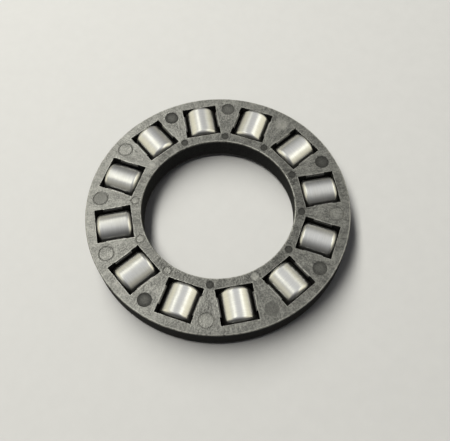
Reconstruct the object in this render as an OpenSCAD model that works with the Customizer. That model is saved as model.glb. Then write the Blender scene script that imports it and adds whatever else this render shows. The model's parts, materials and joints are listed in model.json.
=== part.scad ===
// Thrust roller and cage assembly: a flat moulded ring with open pockets, and in each pocket
// a cylindrical steel roller that lies like a spoke. Two lips on each side of a pocket snap
// over the roller and keep it in, and the roller stands out of both faces of the ring.
// The origin is the centre of the bore at mid height, and +Z runs along the bearing's axis.

/* [Cage] */
// Bore diameter of the cage ring
cage_bore = 20.15; // [18:0.05:24]
// Width of the inner rim, between the bore and the pockets
inner_rim = 1.215; // [0.9:0.005:2]
// Width of the outer rim, between the pockets and the outside
outer_rim = 1.34; // [0.9:0.01:2]
// Radius on the ring's upper and lower edges
cage_edge = 0.15; // [0.05:0.05:0.4]

/* [Rollers] */
// Number of rollers in the ring
roller_count = 12; // [8:1:13]
// Diameter of a roller
roller_d = 4.5; // [4.2:0.1:4.8]
// Length of a roller
roller_len = 4.5; // [4:0.05:4.8]
// Radius on the end corners of a roller
roller_corner = 0.6; // [0.1:0.05:0.8]
// How far a roller stands out of each face of the cage
roller_proud = 0.55; // [0.2:0.05:0.7]

/* [Pockets] */
// Gap between a roller's side and the flat side wall of its pocket
side_gap = 0.12; // [0.03:0.01:0.16]
// Gap between a roller's end and the end wall of its pocket
end_gap = 0.11; // [0.05:0.005:0.3]
// Gap between a roller and the hollow underside of the lips, more than the side gap
seat_gap = 0.17; // [0.17:0.01:0.25]
// Length of a lip along the roller
lip_len = 2.5; // [1.5:0.1:3.2]
// How far a lip reaches in from the side wall of the pocket
lip_reach = 0.22; // [0.12:0.02:0.3]
// Width of the sloping lead-in on a lip
lead_in_w = 0.16; // [0.06:0.02:0.3]
// Fall of the lead-in from the face of the cage to the edge of the lip
lead_in_fall = 0.16; // [0.06:0.02:0.3]

/* [Moulding marks] */
// Diameter of the large round mark on each web
large_mark_d = 1.9; // [1.6:0.1:2.4]
// Distance of the large marks' middles from the outside of the cage
large_mark_inset = 1.8; // [1.5:0.1:2.2]
// Diameter of the small round mark on each web
small_mark_d = 1.05; // [0.8:0.05:1.2]
// Distance of the small marks' middles from the bore
small_mark_inset = 0.875; // [0.8:0.025:1]
// Depth of the round marks
mark_depth = 0.06; // [0.02:0.01:0.15]

/* [Hidden] */
// Roundness of revolved and drilled faces
$fn = 96;
// How far a cut runs past the faces that it opens
over = 1;
cage_h = roller_d - 2 * roller_proud;
pocket_len = roller_len + 2 * end_gap;
bore_r = cage_bore / 2;
ring_w = inner_rim + pocket_len + outer_rim;
pitch_r = bore_r + inner_rim + pocket_len / 2;
large_mark_r = bore_r + ring_w - large_mark_inset;
small_mark_r = bore_r + small_mark_inset;
pitch_angle = 360 / roller_count;
wall_half = roller_d / 2 + side_gap;
lip_half = wall_half - lip_reach;
seat_r = roller_d / 2 + seat_gap;
notch_len = (pocket_len - lip_len) / 2;

function roller_angle(i) = i * pitch_angle;
function roller_name(i) = str("roller_", i < 9 ? "0" : "", i + 1);

// Turns and moves its children to the middle of pocket i, with X along the roller
module at_pocket(i) {
  rotate(roller_angle(i)) translate([pitch_r, 0, 0]) children();
}

// Rectangle with round corners, centred on its own middle
module round_rectangle(w, h, r) {
  square([w - 2 * r, h], center = true);
  square([w, h - 2 * r], center = true);
  for (x = [-1, 1], y = [-1, 1])
    translate([x * (w / 2 - r), y * (h / 2 - r)]) circle(r = r);
}

// Plain ring with all four edges rounded
module ring() {
  rotate_extrude()
    translate([bore_r + ring_w / 2, 0])
      round_rectangle(ring_w, cage_h, cage_edge);
}

// Sloping lead-in over one face, as the cut's section across the roller
module lead_in_section() {
  face = cage_h / 2;
  mouth_half = lip_half + lead_in_w;
  polygon([
    [-lip_half, face - lead_in_fall],
    [lip_half, face - lead_in_fall],
    [mouth_half, face],
    [mouth_half, face + over],
    [-mouth_half, face + over],
    [-mouth_half, face],
  ]);
}

// Section of a pocket between its lips: a hollow seat round the roller, flat where it meets
// the side walls, a narrower slot between the lips, and a lead-in on both faces
module lip_section() {
  intersection() {
    circle(r = seat_r);
    square([2 * wall_half, 2 * seat_r], center = true);
  }
  square([2 * lip_half, cage_h + 2 * over], center = true);
  lead_in_section();
  mirror([0, 1]) lead_in_section();
}

// Cut for one pocket: the lipped middle and a full-width notch at each end
module pocket_cut() {
  rotate([90, 0, 90]) linear_extrude(lip_len, center = true) lip_section();
  for (end = [-1, 1])
    translate([end * (lip_len + notch_len) / 2, 0, 0])
      cube([notch_len, 2 * wall_half, cage_h + 2 * over], center = true);
}

// Shallow round mark in the upper face, on the middle of web i
module mark_cut(i, r, d) {
  rotate(roller_angle(i + 0.5))
    translate([r, 0, cage_h / 2 - mark_depth])
      cylinder(d = d, h = mark_depth + over);
}

// Moulded ring that spaces and holds the rollers
module cage() {
  color("#2b2b2d")
    difference() {
      ring();
      for (i = [0:roller_count - 1]) {
        at_pocket(i) pocket_cut();
        mark_cut(i, large_mark_r, large_mark_d);
        mark_cut(i, small_mark_r, small_mark_d);
      }
    }
}

// Half of a roller's section, from its axis to its rounded end corners
module roller_section() {
  intersection() {
    round_rectangle(roller_d, roller_len, roller_corner);
    translate([0, -roller_len / 2]) square([roller_d / 2, roller_len]);
  }
}

// Cylindrical roller number i, its axis pointing out from the bore
module roller(i) {
  color("#c9cbce")
    at_pocket(i) rotate([0, 90, 0]) rotate_extrude() roller_section();
}

cage();
for (i = [0:roller_count - 1])
  roller(i);
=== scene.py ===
"""Dresses the thrust roller and cage assembly: a moulded black cage with twelve steel rollers.

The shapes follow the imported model. Node trees work in millimetres, and finished meshes are
scaled to metres.
"""
import json
import math

import bpy
from mathutils import Matrix, Vector


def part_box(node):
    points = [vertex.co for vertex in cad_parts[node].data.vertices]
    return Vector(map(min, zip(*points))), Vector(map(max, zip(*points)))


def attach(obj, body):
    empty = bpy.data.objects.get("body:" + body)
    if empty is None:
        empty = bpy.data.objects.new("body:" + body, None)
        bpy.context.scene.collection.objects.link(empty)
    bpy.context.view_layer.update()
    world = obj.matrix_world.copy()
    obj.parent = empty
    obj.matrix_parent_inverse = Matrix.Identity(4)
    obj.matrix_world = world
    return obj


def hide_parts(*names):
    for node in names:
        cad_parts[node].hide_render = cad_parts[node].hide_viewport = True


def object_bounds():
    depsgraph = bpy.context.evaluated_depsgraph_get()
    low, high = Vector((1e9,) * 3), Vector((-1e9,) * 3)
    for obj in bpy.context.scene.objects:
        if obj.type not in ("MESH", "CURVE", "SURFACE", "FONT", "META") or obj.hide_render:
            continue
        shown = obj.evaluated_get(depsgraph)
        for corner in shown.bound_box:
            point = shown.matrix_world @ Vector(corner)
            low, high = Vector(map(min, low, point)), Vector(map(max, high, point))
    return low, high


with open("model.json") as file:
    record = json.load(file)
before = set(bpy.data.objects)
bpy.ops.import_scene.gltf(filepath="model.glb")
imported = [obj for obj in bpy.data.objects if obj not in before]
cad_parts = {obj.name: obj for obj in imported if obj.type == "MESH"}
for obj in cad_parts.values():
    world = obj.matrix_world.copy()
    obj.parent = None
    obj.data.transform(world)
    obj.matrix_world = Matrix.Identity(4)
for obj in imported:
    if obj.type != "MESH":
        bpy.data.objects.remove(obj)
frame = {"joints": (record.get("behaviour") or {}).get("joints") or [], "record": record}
cad_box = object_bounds()

MM = 0.001
scene = bpy.context.scene
mounts = {mount["name"]: mount["dims"] for mount in frame["record"]["mounts"]}

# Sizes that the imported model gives
cage_low, cage_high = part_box("cage")
roller_low, roller_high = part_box("roller_01")
ROLLER_COUNT = len(frame["joints"])
BORE_R = mounts["shaft_bore"]["r_mm"]
OUTER_R = mounts["housing_rim"]["r_mm"]
CAGE_H = (cage_high.z - cage_low.z) / MM
ROLLER_D = (roller_high.z - roller_low.z) / MM
ROLLER_LEN = (roller_high.x - roller_low.x) / MM
PITCH_R = (roller_high.x + roller_low.x) / 2 / MM
PITCH_ANGLE = 2 * math.pi / ROLLER_COUNT
FACE = CAGE_H / 2

# Sizes of the moulding and the rollers, as in the part's source
CAGE_EDGE = 0.15
ROLLER_CORNER = 0.6
SIDE_GAP = 0.12
END_GAP = 0.11
SEAT_GAP = 0.17
LIP_LEN = 2.5
LIP_REACH = 0.22
LEAD_IN_W = 0.16
LEAD_IN_FALL = 0.16
LARGE_MARK_D = 1.9
LARGE_MARK_INSET = 1.8
SMALL_MARK_D = 1.05
SMALL_MARK_INSET = 0.875
SUNK_DEPTH = 0.06
POCKET_LEN = ROLLER_LEN + 2 * END_GAP
WALL_HALF = ROLLER_D / 2 + SIDE_GAP
LIP_HALF = WALL_HALF - LIP_REACH
LARGE_MARK_R = OUTER_R - LARGE_MARK_INSET
SMALL_MARK_R = BORE_R + SMALL_MARK_INSET

# Sizes that only the visual model has
GROOVE_W = 0.2
GROOVE_DEPTH = 0.05
BROKEN_EDGE = 0.03

# How far cutters run past faces, lap over one another or stay off a shared plane, and the
# distance within which points are merged after the cuts
OVER = 0.4
LAP = 0.1
HAIR = 0.01
SEAT_INSET = 0.002
MERGE_GAP = 0.0008

# Steps of round shapes: round a full turn, on a rounded edge, and along a roller
RING_STEPS = 288
SEAT_STEPS = 96
MARK_STEPS = 64
GROOVE_STEPS = 12
ROLLER_STEPS = 96
EDGE_STEPS = 8
ROLLER_RINGS = 28
# Share of a roller's rings that lies on its rounded corners
CORNER_SHARE = 0.62

# Angles between faces: past the first an edge is broken, past the second it is shaded sharp,
# and on the cage it is also sharp within a spread of the third
BROKEN_ANGLE = math.radians(32)
SHARP_ANGLE = 1.0
CREASE_ANGLE = math.radians(15)
CREASE_SPREAD = math.radians(3)

# Webs by the look of their ejector marks: web i lies between rollers i and i + 1
SUNK_LARGE_WEBS = (0, 2, 3, 7, 10)
RINGED_LARGE_WEBS = (4, 5, 6, 8, 11)
DARK_LARGE_WEBS = (0, 3, 7)
SMOKY_LARGE_WEBS = (5, 9)
PALE_LARGE_WEBS = (1,)
FAINT_LARGE_WEBS = (8, 11)
SUNK_SMALL_WEBS = (0, 1, 2, 3, 8, 10, 11)
RINGED_SMALL_WEBS = (5, 6, 7)
PALE_SMALL_WEBS = (9,)

# Colours of the plastic: its grain, the layers over the grain, and the walls
GRAIN_COLOURS = (0.018, 0.018, 0.017), (0.062, 0.062, 0.058)
PALE_MARK_COLOUR = (0.105, 0.104, 0.098)
STREAK_COLOUR = (0.07, 0.07, 0.066)
# A lighter colour for edges with slight wear, which also stands for a painted highlight along them
WEAR_AND_HIGHLIGHT_COLOUR = (0.12, 0.12, 0.115)
# A painted highlight along the outermost edge of the rims
RIM_HIGHLIGHT_COLOUR = (0.24, 0.24, 0.23)
LEAD_IN_COLOUR = (0.016, 0.016, 0.016)
WALL_COLOURS = (0.016, 0.016, 0.016), (0.027, 0.027, 0.027)
# Radii over which the inner rim ends and the outer rim begins
INNER_RIM = (11.1, 11.6)
OUTER_RIM = (15.6, 16.3)
PLASTIC_RELIEF = 5.5e-5

# Colours of the steel and how its noise differs from roller to roller
STEEL_COLOURS = (0.59, 0.59, 0.6), (0.69, 0.69, 0.7)
SMEAR_COLOUR = (0.55, 0.54, 0.52)
STEEL_RELIEF = 5e-7
BATCH_STEP = 3.7

# Colours of the floor, as it is seen and as it is mirrored
FLOOR_COLOURS = (0.48, 0.48, 0.51), (0.52, 0.52, 0.55)
MIRRORED_FLOOR = (0.15, 0.15, 0.155)
FLOOR_REACH = 4.0

# The camera, in the frame of the photograph: 450 by 441
CAMERA_AZIMUTH = math.radians(-10.2)
CAMERA_ELEVATION = math.radians(63.17)
CAMERA_ROLL = math.radians(-0.557)
CAMERA_AIM = Vector((2.611, -1.482, FACE)) * MM
CAMERA_DISTANCE = 82.066 * MM

# The strips of light: distance from the part, width, and the colours for plastic and steel
STRIP_HEIGHT = 0.4
STRIP_WIDTH = 0.1
CAGE_LIGHT = (1.0, 0.985, 0.86)
ROLLER_LIGHT = (1.0, 0.985, 0.78)

# The room that glossy pieces mirror: its grey at degrees from straight up, away from the camera
ROOM_GREYS = (
    (-66, 0.08),
    (-51, 0.17),
    (-31, 0.39),
    (-18, 0.6),
    (-1, 0.84),
    (29, 0.86),
    (43, 0.63),
    (54, 0.45),
    (72, 0.25),
    (84, 0.16),
)
ROOM_WARMTH = 0.96
ROOM_SIDES = (1.2, 1.145, 0.865)
# What the room gives to matt pieces, and how it looks to the camera
ROOM_FILL = (0.09, 0.09, 0.09)
ROOM_BACKDROP = (0.8, 0.8, 0.79)


def web_bits(webs):
    """One number whose bit i says that web i is on the list."""
    return sum(2 ** web for web in webs)


def has_bit(bits, index):
    """1 where bit number index of a whole number is set, and 0 elsewhere."""
    return (bits / (2 ** index)).floor() % 2


class Wire:
    """An output socket of a node tree, with Python's arithmetic."""

    def __init__(self, recipe, socket):
        self.recipe = recipe
        self.socket = socket

    def maths(self, operation, *values):
        return self.recipe.node("ShaderNodeMath", {"operation": operation}, dict(enumerate(values)))

    def __add__(self, other):
        return self.maths("ADD", self, other)

    def __radd__(self, other):
        return self.maths("ADD", other, self)

    def __sub__(self, other):
        return self.maths("SUBTRACT", self, other)

    def __rsub__(self, other):
        return self.maths("SUBTRACT", other, self)

    def __mul__(self, other):
        return self.maths("MULTIPLY", self, other)

    def __rmul__(self, other):
        return self.maths("MULTIPLY", other, self)

    def __truediv__(self, other):
        return self.maths("DIVIDE", self, other)

    def __rtruediv__(self, other):
        return self.maths("DIVIDE", other, self)

    def __pow__(self, other):
        return self.maths("POWER", self, other)

    def __rpow__(self, other):
        return self.maths("POWER", other, self)

    def __mod__(self, other):
        return self.maths("FLOORED_MODULO", self, other)

    def __gt__(self, other):
        return self.maths("GREATER_THAN", self, other)

    def __lt__(self, other):
        return self.maths("LESS_THAN", self, other)

    def __neg__(self):
        return self.maths("MULTIPLY", self, -1)

    def __abs__(self):
        return self.maths("ABSOLUTE", self)

    def root(self):
        return self.maths("SQRT", self)

    def sine(self):
        return self.maths("SINE", self)

    def cosine(self):
        return self.maths("COSINE", self)

    def sign(self):
        return self.maths("SIGN", self)

    def floor(self):
        return self.maths("FLOOR", self)

    def fraction(self):
        return self.maths("FRACT", self)

    def angle_from(self, other):
        return self.maths("ARCTAN2", self, other)

    def least(self, other):
        return self.maths("MINIMUM", self, other)

    def most(self, other):
        return self.maths("MAXIMUM", self, other)

    def ramp(self, start, end):
        """0 up to start and 1 from end on, with a soft rise between them."""
        return self.recipe.node(
            "ShaderNodeMapRange",
            {"interpolation_type": "SMOOTHSTEP"},
            {"Value": self, "From Min": start, "From Max": end},
            "Result",
        )


class Recipe:
    """A node tree that is filled one node at a time."""

    def __init__(self, tree):
        self.tree = tree

    @staticmethod
    def pick(sockets, key):
        if isinstance(key, int):
            return sockets[key]
        return next(s for s in sockets if s.name == key and not s.is_unavailable)

    def node(self, kind, settings=None, sockets=None, out=0):
        """Adds a node: its settings are set first, then its sockets get values or wires."""
        made = self.tree.nodes.new(kind)
        for name, value in (settings or {}).items():
            setattr(made, name, value)
        for key, value in (sockets or {}).items():
            socket = self.pick(made.inputs, key)
            for one in value if isinstance(value, list) else [value]:
                if isinstance(one, Wire):
                    self.tree.links.new(one.socket, socket)
                else:
                    socket.default_value = one
        return Wire(self, self.pick(made.outputs, out)) if len(made.outputs) else None

    def vector(self, x, y, z):
        return self.node("ShaderNodeCombineXYZ", None, {"X": x, "Y": y, "Z": z})

    def split(self, vector):
        made = self.node("ShaderNodeSeparateXYZ", None, {"Vector": vector})
        outs = made.socket.node.outputs
        return [Wire(self, outs[axis]) for axis in "XYZ"]

    def mix(self, share, first, second):
        """A colour between two others, which are wires or plain colours."""
        first, second = ((*c, 1) if isinstance(c, tuple) else c for c in (first, second))
        sockets = {"Factor": share, "A": first, "B": second}
        return self.node("ShaderNodeMix", {"data_type": "RGBA"}, sockets, "Result")

    def gradient(self, place, stops):
        """A colour that changes with the place from stop to stop."""
        made = self.node("ShaderNodeValToRGB", None, {"Fac": place})
        elements = made.socket.node.color_ramp.elements
        while len(elements) < len(stops):
            elements.new(0.5)
        for element, (position, colour) in zip(elements, stops):
            element.position = position
            element.color = (*colour, 1)
        return made

    def ray_kind(self, name):
        return self.node("ShaderNodeLightPath", None, None, name)


class Finish(Recipe):
    """A procedural material."""

    def __init__(self, name):
        self.material = bpy.data.materials.new(name)
        self.material.use_nodes = True
        super().__init__(self.material.node_tree)
        self.tree.nodes.clear()

    def place(self):
        """The point on the piece, in millimetres."""
        point = self.node("ShaderNodeTexCoord", None, None, "Object")
        scale = {0: point, "Scale": 1 / MM}
        return self.split(self.node("ShaderNodeVectorMath", {"operation": "SCALE"}, scale))

    def attribute(self, name):
        return self.node("ShaderNodeAttribute", {"attribute_name": name}, None, "Fac")

    def noise(self, vector, scale=1.0, detail=2.0):
        sockets = {"Vector": vector, "Scale": scale, "Detail": detail}
        return self.node("ShaderNodeTexNoise", None, sockets)

    def bump(self, height, distance):
        sockets = {"Height": height, "Distance": distance, "Strength": 1.0}
        return self.node("ShaderNodeBump", None, sockets)

    def coat(self, **sockets):
        """A principled shader."""
        named = {key.replace("_", " "): value for key, value in sockets.items()}
        return self.node("ShaderNodeBsdfPrincipled", None, named)

    def done(self, shader):
        """Ends the material with its shader."""
        self.node("ShaderNodeOutputMaterial", None, {"Surface": shader})
        return self.material


class Shaper(Recipe):
    """A Geometry Nodes tree with named inputs, which makes a plain mesh for each set of values."""

    KINDS = {int: "NodeSocketInt", float: "NodeSocketFloat"}

    def __init__(self, name, inputs):
        super().__init__(bpy.data.node_groups.new(name, "GeometryNodeTree"))
        self.tree.is_modifier = True
        self.new_socket("Geometry", "OUTPUT", "NodeSocketGeometry")
        self.new_socket("Geometry", "INPUT", "NodeSocketGeometry")
        self.inputs = inputs
        self.keys = {
            label: self.new_socket(label, "INPUT", self.KINDS[type(value)]).identifier
            for label, value in inputs.items()
        }
        self.inlet = self.tree.nodes.new("NodeGroupInput")

    def __getitem__(self, label):
        return Wire(self, self.inlet.outputs[label])

    def new_socket(self, label, side, kind):
        return self.tree.interface.new_socket(label, in_out=side, socket_type=kind)

    def moved(self, geometry, place=None, turn=None, scale=None):
        sockets = {"Geometry": geometry, "Translation": place, "Rotation": turn, "Scale": scale}
        given = {key: value for key, value in sockets.items() if value is not None}
        return self.node("GeometryNodeTransform", None, given)

    def placed(self, geometry, position):
        sockets = {"Geometry": geometry, "Position": position}
        return self.node("GeometryNodeSetPosition", None, sockets)

    def positions(self):
        return self.split(self.node("GeometryNodeInputPosition"))

    def edge_angle(self):
        return self.node("GeometryNodeInputMeshEdgeAngle", None, None, "Unsigned Angle")

    def turned_by(self, angle):
        euler = {"Euler": self.vector(0.0, 0.0, angle)}
        return self.node("FunctionNodeEulerToRotation", None, euler)

    def box(self, x, y, z, place=(0, 0, 0)):
        cube = self.node("GeometryNodeMeshCube", None, {"Size": self.vector(x, y, z)})
        return self.moved(cube, self.vector(*place))

    def circle(self, steps, radius):
        sockets = {"Resolution": steps, "Radius": radius}
        return self.node("GeometryNodeCurvePrimitiveCircle", {"mode": "RADIUS"}, sockets, "Curve")

    def cylinder(self, steps, radius, depth):
        sockets = {"Vertices": steps, "Radius": radius, "Depth": depth}
        return self.node("GeometryNodeMeshCylinder", {"fill_type": "NGON"}, sockets, "Mesh")

    def swept(self, path, profile, **more):
        sockets = {"Curve": path, "Profile Curve": profile}
        sockets.update({key.replace("_", " "): value for key, value in more.items()})
        return self.node("GeometryNodeCurveToMesh", None, sockets)

    def stored(self, geometry, domain, name, value):
        """Keeps a number on each point or edge, under a name."""
        settings = {"data_type": "FLOAT", "domain": domain}
        sockets = {"Geometry": geometry, "Name": name, "Value": value}
        return self.node("GeometryNodeStoreNamedAttribute", settings, sockets)

    def round_the_ring(self, geometry, radius, z, turn_offset, chosen=None):
        """Copies of a shape on a circle, one for each roller, turned with the circle."""
        points = self.node("GeometryNodePoints", None, {"Count": self["Roller count"]})
        index = self.node("GeometryNodeInputIndex")
        angle = (index + turn_offset) * (2 * math.pi / self["Roller count"])
        spot = self.vector(radius * angle.cosine(), radius * angle.sine(), z)
        sockets = {
            "Points": self.placed(points, spot),
            "Instance": geometry,
            "Rotation": self.turned_by(angle),
        }
        if chosen is not None:
            sockets["Selection"] = chosen
        copies = self.node("GeometryNodeInstanceOnPoints", None, sockets)
        return self.node("GeometryNodeRealizeInstances", None, {"Geometry": copies})

    def joined(self, shapes):
        settings = {"operation": "UNION", "solver": "MANIFOLD"}
        return self.node("GeometryNodeMeshBoolean", settings, {1: shapes}, "Mesh")

    def cut(self, shape, cutters):
        settings = {"operation": "DIFFERENCE", "solver": "MANIFOLD"}
        return self.node("GeometryNodeMeshBoolean", settings, {0: shape, 1: cutters}, "Mesh")

    def creased(self, geometry, wanted):
        """Shades smooth, apart from the edges whose angle is wanted sharp."""
        smooth = self.node("GeometryNodeSetShadeSmooth", None, {"Geometry": geometry})
        selection = wanted(self.edge_angle())
        sharp = {"Geometry": smooth, "Selection": selection, "Shade Smooth": False}
        return self.node("GeometryNodeSetShadeSmooth", {"domain": "EDGE"}, sharp)

    def end(self, geometry, finish):
        whole = self.node("GeometryNodeRealizeInstances", None, {"Geometry": geometry})
        sockets = {"Geometry": whole, "Material": finish}
        dressed = self.node("GeometryNodeSetMaterial", None, sockets)
        self.node("NodeGroupOutput", None, {"Geometry": dressed})

    def add_to(self, piece, values=None):
        modifier = piece.modifiers.new(self.tree.name, "NODES")
        modifier.node_group = self.tree
        for label, value in {**self.inputs, **(values or {})}.items():
            modifier[self.keys[label]] = value


def linked(name, data):
    """A new object in the scene."""
    made = bpy.data.objects.new(name, data)
    scene.collection.objects.link(made)
    return made


def blank(name):
    """An empty object, to be shaped by its modifiers in millimetres."""
    return linked(name + "_blank", bpy.data.meshes.new(name + "_blank"))


def finished(piece, name, finish):
    """Turns a shaped blank into a plain mesh in metres, with no modifiers."""
    depsgraph = bpy.context.evaluated_depsgraph_get()
    shaped = piece.evaluated_get(depsgraph)
    mesh = bpy.data.meshes.new_from_object(
        shaped, preserve_all_data_layers=True, depsgraph=depsgraph
    )
    bpy.data.objects.remove(piece)
    mesh.name = name
    mesh.materials.clear()
    mesh.materials.append(finish)
    mesh.polygons.foreach_set("material_index", [0] * len(mesh.polygons))
    mesh.transform(Matrix.Scale(MM, 4))
    return linked(name, mesh)


def mark_looks(r, turn, z):
    """How dull and how pale the plastic is at its ejector marks, with painted shade round the sunk
    marks' edges and in the grooves round the ringed marks.
    """
    upper = z.ramp(FACE - 0.2, FACE - 0.1)
    web = (turn % ROLLER_COUNT).floor()
    from_web = (turn.fraction() - 0.5) * PITCH_ANGLE

    def listed(webs):
        return has_bit(web_bits(webs), web)

    def mark(mark_r, mark_d):
        """The mark's floor, the band of its groove where painted shade goes, and a soft spot that
        is strongest in its middle.
        """
        along = r * from_web.cosine() - mark_r
        across = r * from_web.sine()
        from_edge = (along * along + across * across).root() - mark_d / 2
        floor_share = (1 - from_edge.ramp(-0.06, 0.02)) * upper
        ring = (1 - abs(from_edge).ramp(0.02, GROOVE_W / 2 + 0.03)) * upper
        middle = (1 - from_edge.ramp(-0.45 * mark_d, 0.05)) * upper
        return floor_share, ring, middle

    large_floor, large_groove_shade, large_middle = mark(LARGE_MARK_R, LARGE_MARK_D)
    small_floor, small_groove_shade, small_middle = mark(SMALL_MARK_R, SMALL_MARK_D)
    small_sunk = listed(SUNK_SMALL_WEBS)
    small_ringed = listed(RINGED_SMALL_WEBS)

    # Sunk marks are dull all over; their extra dullness at the edge, fading towards the middle, is
    # painted shade round the recess
    large_dull = (0.87 - 0.2 * large_middle) * listed(SUNK_LARGE_WEBS)
    large_dull = large_dull + 0.12 * listed(DARK_LARGE_WEBS) + 0.6 * listed(SMOKY_LARGE_WEBS)
    small_dull = 0.97 - 0.08 * small_middle
    dull = large_floor * large_dull + small_floor * small_sunk * small_dull

    large_pale = listed(PALE_LARGE_WEBS) + 0.55 * listed(FAINT_LARGE_WEBS)
    small_pale = 0.8 - 0.25 * small_ringed + 0.45 * listed(PALE_SMALL_WEBS)
    small_pale = (1 - small_sunk) * small_pale
    pale = (large_middle ** 0.3) * large_pale + (small_middle ** 0.25) * small_pale

    # The grooves round the ringed marks are darkened with painted shade
    groove = (large_groove_shade * listed(RINGED_LARGE_WEBS)).most(small_groove_shade * small_ringed)
    return dull, pale, groove


def cage_plastic():
    """Matt black glass-filled plastic: fibre streaks, ejector marks, painted shade in the marks and
    painted highlights on edges with slight wear.
    """
    f = Finish("glass_filled_black_plastic")
    x, y, z = f.place()
    r = (x * x + y * y).root()
    turn = y.angle_from(x) / PITCH_ANGLE
    height = abs(z)
    dull, pale, groove = mark_looks(r, turn, z)

    # Fibres and streaks that run out from the bore, and specks of several sizes
    def streaks(fineness, length):
        return f.noise(f.vector(x / r * fineness, y / r * fineness, r * length + z))

    fibres = streaks(58, 1.1)
    streak = streaks(16, 0.5).ramp(0.46, 0.62)
    point = f.vector(x, y, z)
    flecks = f.noise(point, 4.8, 3.0)
    cloud = f.noise(point, 0.45, 2.0)
    blotch = f.noise(point, 2.2, 3.0)
    grain = fibres * 0.38 + flecks * 0.62
    shade = grain.ramp(0.36, 0.64)

    # Distances from the rims, the pockets' walls and the lips' lead-ins
    to_rim = (OUTER_R - r).least(r - BORE_R)
    from_pocket = ((turn + 0.5).fraction() - 0.5) * PITCH_ANGLE
    along = abs(r * from_pocket.cosine() - PITCH_R)
    across = abs(r * from_pocket.sine())
    from_walls = (along - POCKET_LEN / 2).most(across - WALL_HALF)
    from_lead_ins = (along - LIP_LEN / 2).most(across - LIP_HALF - LEAD_IN_W)
    lead_in = 1 - from_lead_ins.ramp(-0.05, 0.01)

    # Edges with slight wear and a painted highlight, a painted highlight line along the outermost
    # edge of the rims, and uneven pale marks
    edge = (1 - from_walls.ramp(0.02, 0.14)).most(1 - to_rim.ramp(0.03, 0.2))
    edge = edge * height.ramp(FACE - 0.2, FACE - 0.05)
    # The edges are lighter with slight wear, and the lighter colour also stands for a painted
    # highlight along them; they keep more sheen too
    wear_and_highlight = edge * blotch.ramp(0.28, 0.6) * (1 - lead_in)
    # A painted highlight line along the outermost edge of both rims, made uneven by the blotches
    rim_highlight = (1 - to_rim.ramp(0.09, 0.23)) * height.ramp(FACE - 0.15, FACE - 0.06)
    rim_highlight = rim_highlight * (0.5 + 0.5 * blotch.ramp(0.3, 0.6))
    pale = pale * (0.65 + 0.5 * blotch.ramp(0.35, 0.65))

    # The faces, with layers of colour over the grain
    colour = f.mix(shade, *GRAIN_COLOURS)
    for share, layer in (
        (pale * 0.9, PALE_MARK_COLOUR),
        (streak * 0.3, STREAK_COLOUR),
        (wear_and_highlight * 0.75, WEAR_AND_HIGHLIGHT_COLOUR),
        (rim_highlight * 0.8, RIM_HIGHLIGHT_COLOUR),
        (lead_in * 0.9, LEAD_IN_COLOUR),
    ):
        colour = f.mix(share, colour, layer)
    roughness = 0.4 + 0.25 * (fibres - 0.5) + 0.1 * (cloud - 0.5)
    roughness = roughness - 0.04 * wear_and_highlight - 0.16 * lead_in
    relief = f.bump(grain, PLASTIC_RELIEF)
    face = f.coat(
        Base_Color=colour, Roughness=roughness, Specular_IOR_Level=0.98, Normal=relief
    )

    # The walls, which are duller, and the share of their finish that shows on the faces
    wall = f.coat(
        Base_Color=f.mix(shade, *WALL_COLOURS),
        Roughness=0.5 + 0.2 * (fibres - 0.5),
        Specular_IOR_Level=0.03,
        Normal=relief,
    )
    rim = 1 - to_rim.ramp(0.1, 0.25)
    below = 1 - (height + 0.12 * rim).ramp(FACE - 0.24, FACE - 0.18)
    flow = 0.42 * (1 - shade) + 0.12 * (1 - cloud.ramp(0.4, 0.6)) + 0.15 * (1 - streak)
    flow = flow + 0.16 * (1 - r.ramp(*INNER_RIM))
    flow = flow * (1 - 0.85 * pale) * (1 - 0.1 * r.ramp(*OUTER_RIM))
    flow = flow * (1 - wear_and_highlight) * (1 - lead_in)
    # Half the wall finish in the grooves is painted shade, and so is the extra darkness at the
    # edges of the sunk marks
    deep = below.most(0.5 * groove).most(dull).most(flow)
    return f.done(f.node("ShaderNodeMixShader", None, {"Fac": deep, 1: face, 2: wall}))


def roller_steel():
    """Fine ground bearing steel: grinding lines round the roller, faint smears and duller ends."""
    f = Finish("fine_ground_steel")
    along, side, up, batch = (f.attribute(name) for name in ("along", "side", "up", "batch"))
    off_axis = (side * side + up * up).root()
    end_r = ROLLER_D / 2 - ROLLER_CORNER
    end = 1 - off_axis.ramp(end_r - 0.05, end_r + 0.05)
    fine = f.noise(f.vector(along * 26 + batch, side * 0.6, up * 0.6), 1.0, 3.0)
    broad = f.noise(f.vector(along * 5 + batch, side * 0.3, up * 0.3), 1.0, 2.0)
    turned = f.noise(f.vector(off_axis * 18 + batch, 0.0, 0.0), 1.0, 2.0)
    smear = f.noise(f.vector(along + batch, side, up), 0.9, 4.0).ramp(0.42, 0.7)
    lines = fine + end * (turned - fine)
    colour = f.mix(lines.ramp(0.3, 0.7), *STEEL_COLOURS)
    colour = f.mix(smear * 0.25, colour, SMEAR_COLOUR)
    roughness = 0.3 + 0.08 * (lines - 0.5) + 0.06 * (broad - 0.5) + 0.05 * smear + 0.08 * end
    relief = f.bump(lines * 0.6 + broad * 0.4, STEEL_RELIEF)
    return f.done(f.coat(Base_Color=colour, Metallic=1.0, Roughness=roughness, Normal=relief))


def pale_floor():
    """A pale table top, darker where glossy pieces mirror it."""
    f = Finish("pale_floor")
    x, y, z = f.place()
    grain = f.noise(f.vector(x, y, z), 0.6, 4.0)
    colour = f.mix(grain, *FLOOR_COLOURS)
    colour = f.mix(f.ray_kind("Is Glossy Ray"), colour, MIRRORED_FLOOR)
    return f.done(f.coat(Base_Color=colour, Roughness=0.7 + 0.1 * grain))


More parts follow.
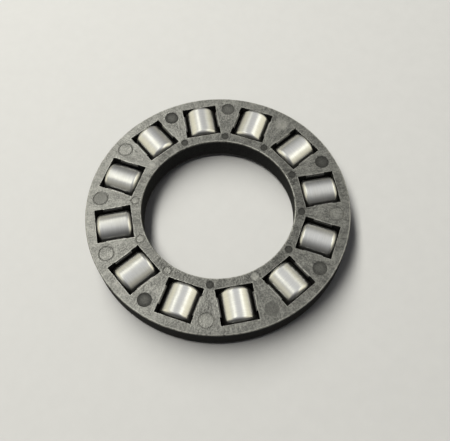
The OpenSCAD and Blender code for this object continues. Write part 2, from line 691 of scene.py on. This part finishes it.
def pocketed_ring(finish):
    """The ring with its pockets, lips, hollow seats and lead-ins."""
    g = Shaper(
        "pocketed_ring",
        {
            "Roller count": ROLLER_COUNT,
            "Bore radius": BORE_R,
            "Outer radius": OUTER_R,
            "Height": CAGE_H,
            "Edge radius": CAGE_EDGE,
            "Pitch radius": PITCH_R,
            "Pocket length": POCKET_LEN,
            "Pocket half width": WALL_HALF,
            "Lip half gap": LIP_HALF,
            "Lip length": LIP_LEN,
            "Seat radius": ROLLER_D / 2 + SEAT_GAP,
            "Lead-in width": LEAD_IN_W,
            "Lead-in fall": LEAD_IN_FALL,
        },
    )
    face = g["Height"] / 2
    width = g["Outer radius"] - g["Bore radius"]
    path = g.circle(RING_STEPS, g["Bore radius"] + width / 2)
    profile = g.node(
        "GeometryNodeCurvePrimitiveQuadrilateral",
        {"mode": "RECTANGLE"},
        {"Width": width, "Height": g["Height"]},
    )
    profile = g.node(
        "GeometryNodeFilletCurve",
        {"mode": "POLY"},
        {"Curve": profile, "Radius": g["Edge radius"], "Count": EDGE_STEPS},
    )
    ring = g.swept(path, profile)

    # The slot between the lips, and a full-width notch at each end
    lip_len, lip_fall = g["Lip length"], g["Lead-in fall"]
    wall_half, lip_half = g["Pocket half width"], g["Lip half gap"]
    notch_len = (g["Pocket length"] - lip_len) / 2
    through = g["Height"] + 2 * OVER
    slot = g.box(lip_len + OVER, 2 * lip_half, through + OVER)
    notches = [
        g.box(notch_len, 2 * wall_half, through, (end * (lip_len + notch_len) / 2, 0.0, 0.0))
        for end in (-1, 1)
    ]

    # The hollow seat under the lips, flat where it meets the side walls
    seat = g.cylinder(SEAT_STEPS, g["Seat radius"], lip_len + 2 * LAP)
    seat = g.moved(seat, turn=(0, math.pi / 2, 0))
    px, py, pz = g.positions()
    seat_half = wall_half - SEAT_INSET
    seat = g.placed(seat, g.vector(px, py.most(-seat_half).least(seat_half), pz))

    # The lead-ins: blocks from -1 to 1 across the pocket, spread wider towards the face
    tall = lip_fall + 2 * LAP
    spread = g["Lead-in width"] / lip_fall
    lead_ins = []
    for side in (-1, 1):
        middle = (0.0, 0.0, side * (face - lip_fall / 2))
        block = g.box(lip_len + 2 * HAIR, 2.0, tall, middle)
        above = side * pz - (face - lip_fall)
        lead_ins.append(g.placed(block, g.vector(px, py * (lip_half + above * spread), pz)))
    pocket = g.joined([slot, *notches, seat, *lead_ins])
    pocketed = g.cut(ring, [g.round_the_ring(pocket, g["Pitch radius"], 0.0, 0.0)])

    # Sharp edges near the faces are marked, to be broken
    ends = [
        abs(g.split(g.node("GeometryNodeInputMeshEdgeVertices", None, None, position))[2])
        for position in ("Position 1", "Position 2")
    ]
    on_faces = ends[0].least(ends[1]) > face - lip_fall - LAP
    weight = on_faces * (g.edge_angle() > BROKEN_ANGLE)
    g.end(g.stored(pocketed, "EDGE", "bevel_weight_edge", weight), finish)
    return g


def ejector_marks(finish):
    """Round marks of the mould's pins on the webs: some sunk, others flush in a thin groove."""
    g = Shaper(
        "ejector_marks",
        {
            "Roller count": ROLLER_COUNT,
            "Face height": FACE,
            "Large mark diameter": LARGE_MARK_D,
            "Large mark circle": LARGE_MARK_R,
            "Small mark diameter": SMALL_MARK_D,
            "Small mark circle": SMALL_MARK_R,
            "Sunk depth": SUNK_DEPTH,
            "Groove width": GROOVE_W,
            "Groove depth": GROOVE_DEPTH,
            "Sunk large marks": web_bits(SUNK_LARGE_WEBS),
            "Sunk small marks": web_bits(SUNK_SMALL_WEBS),
            "Ringed large marks": web_bits(RINGED_LARGE_WEBS),
            "Ringed small marks": web_bits(RINGED_SMALL_WEBS),
        },
    )
    cutters = []
    index = g.node("GeometryNodeInputIndex")
    face = g["Face height"]
    sunk_z = face - g["Sunk depth"] + OVER / 2
    flatness = 2 * g["Groove depth"] / g["Groove width"]
    for size in ("large", "small"):
        diameter = g[size.capitalize() + " mark diameter"]
        circle = g[size.capitalize() + " mark circle"]
        sunk = has_bit(g["Sunk " + size + " marks"], index)
        ringed = has_bit(g["Ringed " + size + " marks"], index)
        pin = g.cylinder(MARK_STEPS, diameter / 2, OVER)
        cutters.append(g.round_the_ring(pin, circle, sunk_z, 0.5, sunk))
        profile = g.circle(GROOVE_STEPS, g["Groove width"] / 2)
        profile = g.moved(profile, scale=g.vector(1.0, flatness, 1.0))
        groove = g.swept(g.circle(MARK_STEPS, diameter / 2), profile)
        cutters.append(g.round_the_ring(groove, circle, face, 0.5, ringed))
    marked = g.cut(g["Geometry"], cutters)
    sockets = {"Geometry": marked, "Distance": MERGE_GAP}
    marked = g.node("GeometryNodeMergeByDistance", None, sockets)

    def sharp(angle):
        return (abs(angle - CREASE_ANGLE) < CREASE_SPREAD).most(angle > SHARP_ANGLE)

    g.end(g.creased(marked, sharp), finish)
    return g


def broken_edges(piece):
    """Tiny rounds on the edges that are marked for it."""
    bevel = piece.modifiers.new("broken_edges", "BEVEL")
    bevel.width = BROKEN_EDGE
    bevel.segments = 2
    bevel.limit_method = "WEIGHT"
    bevel.use_clamp_overlap = False


def even_normals(piece):
    """Normals that keep the flats flat."""
    normals = piece.modifiers.new("even_normals", "WEIGHTED_NORMAL")
    normals.weight = 100
    normals.keep_sharp = True


def ground_roller(finish):
    """A cylinder with rounded end corners, lying on its spoke."""
    g = Shaper(
        "ground_roller",
        {
            "Length": ROLLER_LEN,
            "Diameter": ROLLER_D,
            "Corner radius": ROLLER_CORNER,
            "Pitch radius": PITCH_R,
            "Spoke angle": 0.0,
            "Batch": 0.0,
        },
    )
    corner = g["Corner radius"]
    straight = g["Length"] / 2 - corner
    line = g.node(
        "GeometryNodeCurvePrimitiveLine",
        {"mode": "POINTS"},
        {"Start": (-1.0, 0.0, 0.0), "End": (1.0, 0.0, 0.0)},
    )
    sockets = {"Curve": line, "Count": ROLLER_RINGS}
    line = g.node("GeometryNodeResampleCurve", {"mode": "COUNT"}, sockets)

    # Each ring's place from -1 to 1 becomes a place along the roller and a radius
    reach = g.node("GeometryNodeInputIndex") * (2 / (ROLLER_RINGS - 1)) - 1
    out = abs(reach)
    bend = (out - (1 - CORNER_SHARE)).most(0.0) * (math.pi / 2 / CORNER_SHARE)
    flat = (out / (1 - CORNER_SHARE)).least(1.0)
    along = reach.sign() * (flat * straight + bend.sine() * corner)
    radius = g["Diameter"] / 2 - corner * (1 - bend.cosine())
    line = g.placed(line, g.vector(along, 0.0, 0.0))
    body = g.swept(line, g.circle(ROLLER_STEPS, 1.0), Scale=radius, Fill_Caps=True)

    # The steel's noise needs places on the roller, which stay with it when it turns
    px, py, pz = g.positions()
    for name, value in (("along", px), ("side", py), ("up", pz), ("batch", g["Batch"])):
        body = g.stored(body, "POINT", name, value)
    body = g.moved(body, g.vector(g["Pitch radius"], 0.0, 0.0))
    body = g.moved(body, turn=g.turned_by(g["Spoke angle"]))
    g.end(g.creased(body, lambda angle: angle > SHARP_ANGLE), finish)
    return g


# The moulded cage
plastic = cage_plastic()
cage_blank = blank("moulded_cage")
pocketed_ring(plastic).add_to(cage_blank)
broken_edges(cage_blank)
ejector_marks(plastic).add_to(cage_blank)
even_normals(cage_blank)
cage = finished(cage_blank, "moulded_cage", plastic)
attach(cage, "cage")
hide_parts("cage")

# The rollers, each on its own spoke
steel = roller_steel()
roller_maker = ground_roller(steel)
rollers = []
for place, joint in enumerate(frame["joints"]):
    body = joint["child"]
    roller_blank = blank("ground_" + body)
    spoke = math.atan2(joint["axis"][1], joint["axis"][0])
    roller_maker.add_to(roller_blank, {"Spoke angle": spoke, "Batch": BATCH_STEP * place})
    even_normals(roller_blank)
    roller = finished(roller_blank, "ground_" + body, steel)
    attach(roller, body)
    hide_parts(body)
    rollers.append(roller)

# Level directions to the right of the view and away from the camera, then the camera's axes
flat_right = Vector((math.cos(CAMERA_AZIMUTH), math.sin(CAMERA_AZIMUTH), 0))
flat_ahead = Vector((-math.sin(CAMERA_AZIMUTH), math.cos(CAMERA_AZIMUTH), 0))
straight_up = Vector((0, 0, 1))
back = flat_ahead * -math.cos(CAMERA_ELEVATION) + straight_up * math.sin(CAMERA_ELEVATION)
level_up = back.cross(flat_right)
right = flat_right * math.cos(CAMERA_ROLL) + level_up * math.sin(CAMERA_ROLL)
up = level_up * math.cos(CAMERA_ROLL) - flat_right * math.sin(CAMERA_ROLL)


def standing(place, x_axis, y_axis, z_axis):
    """The matrix of an object at a place, with its axes along three directions."""
    turned = Matrix((x_axis, y_axis, z_axis)).transposed().to_4x4()
    return Matrix.Translation(place) @ turned


camera_data = bpy.data.cameras.new("photo_view")
camera_data.lens = 50.36
camera_data.sensor_width = 36
camera_data.shift_x = -0.0326
camera_data.shift_y = -0.0174
camera_data.clip_start = 0.002
camera_data.clip_end = 50
camera = linked("photo_view", camera_data)
camera.matrix_world = standing(CAMERA_AIM + back * CAMERA_DISTANCE, right, up, back)
scene.camera = camera

# The floor under the rollers
floor_mesh = bpy.data.meshes.new("floor")
floor_z = cad_box[0].z
corners = [
    (x * FLOOR_REACH, y * FLOOR_REACH, floor_z)
    for x, y in ((-1, -1), (1, -1), (1, 1), (-1, 1))
]
floor_mesh.from_pydata(corners, [], [(0, 1, 2, 3)])
floor_mesh.materials.append(pale_floor())
floor = linked("floor", floor_mesh)


def strip_light(name, lit, colour, tilt, ahead, length, radiance):
    """A long soft light over the part that runs away from the camera, tilted out to one side.

    It lights only the pieces in lit, so the bright steel can have a dimmer strip than the
    matt plastic.
    """
    tilt = math.radians(tilt)
    outward = flat_right * math.sin(tilt) + straight_up * math.cos(tilt)
    data = bpy.data.lights.new(name, "AREA")
    data.shape = "RECTANGLE"
    data.size = STRIP_WIDTH
    data.size_y = length
    data.energy = radiance * math.pi * STRIP_WIDTH * length
    data.color = colour
    light = linked(name, data)
    light.visible_camera = False
    place = outward * STRIP_HEIGHT + flat_ahead * ahead
    light.matrix_world = standing(place, flat_ahead.cross(outward), flat_ahead, outward)
    light.light_linking.receiver_collection = bpy.data.collections.new(name + "_lit")
    for piece in lit:
        light.light_linking.receiver_collection.objects.link(piece)


strip_light(
    "left_strip", [cage, floor], CAGE_LIGHT, tilt=-20, ahead=0.275, length=0.75, radiance=17.2
)
strip_light(
    "left_roller_strip", rollers, ROLLER_LIGHT, tilt=-25, ahead=0.185, length=0.5, radiance=1.45
)
strip_light(
    "right_strip", [cage], CAGE_LIGHT, tilt=36, ahead=0.075, length=0.4, radiance=3.6
)
strip_light(
    "right_roller_strip", rollers, ROLLER_LIGHT, tilt=36, ahead=0.1, length=0.46, radiance=1.5
)

# The room round the part: bright above and at the sides, dim on the camera's side
world = bpy.data.worlds.new("studio")
world.use_nodes = True
scene.world = world
w = Recipe(world.node_tree)
w.tree.nodes.clear()
to_room = w.node("ShaderNodeTexCoord", None, None, "Generated")


def share_of(direction):
    """How far the way to the room goes in a direction."""
    sockets = {0: to_room, 1: direction}
    return w.node("ShaderNodeVectorMath", {"operation": "DOT_PRODUCT"}, sockets, "Value")


def lean(direction):
    """The angle from straight up towards a level direction, as share_of_turn counts it."""
    return share_of(direction).angle_from(share_of(straight_up)) / math.pi + 0.5


def share_of_turn(degrees):
    """Degrees from straight up as a share of half a turn, with 0.5 straight up."""
    return degrees / 180 + 0.5


pitch = lean(flat_ahead)
slant = lean(flat_right)
room = w.gradient(
    pitch,
    [
        (share_of_turn(degrees), (grey, grey, grey * ROOM_WARMTH))
        for degrees, grey in ROOM_GREYS
    ],
)
far = pitch.ramp(share_of_turn(51), share_of_turn(81))
far = far * (0.55 + 0.2 * slant.ramp(share_of_turn(-9), share_of_turn(18)))
sideways = abs(slant - 0.5).ramp(34 / 180, 56 / 180)
sideways = sideways * pitch.ramp(share_of_turn(-71), share_of_turn(-21)) * (1 - far)
room = w.mix(sideways, room, ROOM_SIDES)
room = w.mix(w.ray_kind("Is Glossy Ray"), ROOM_FILL, room)
room = w.mix(w.ray_kind("Is Camera Ray"), room, ROOM_BACKDROP)
background = w.node("ShaderNodeBackground", None, {"Color": room, "Strength": 1.0})
w.node("ShaderNodeOutputWorld", None, {"Surface": background})

scene.view_settings.view_transform = "Standard"
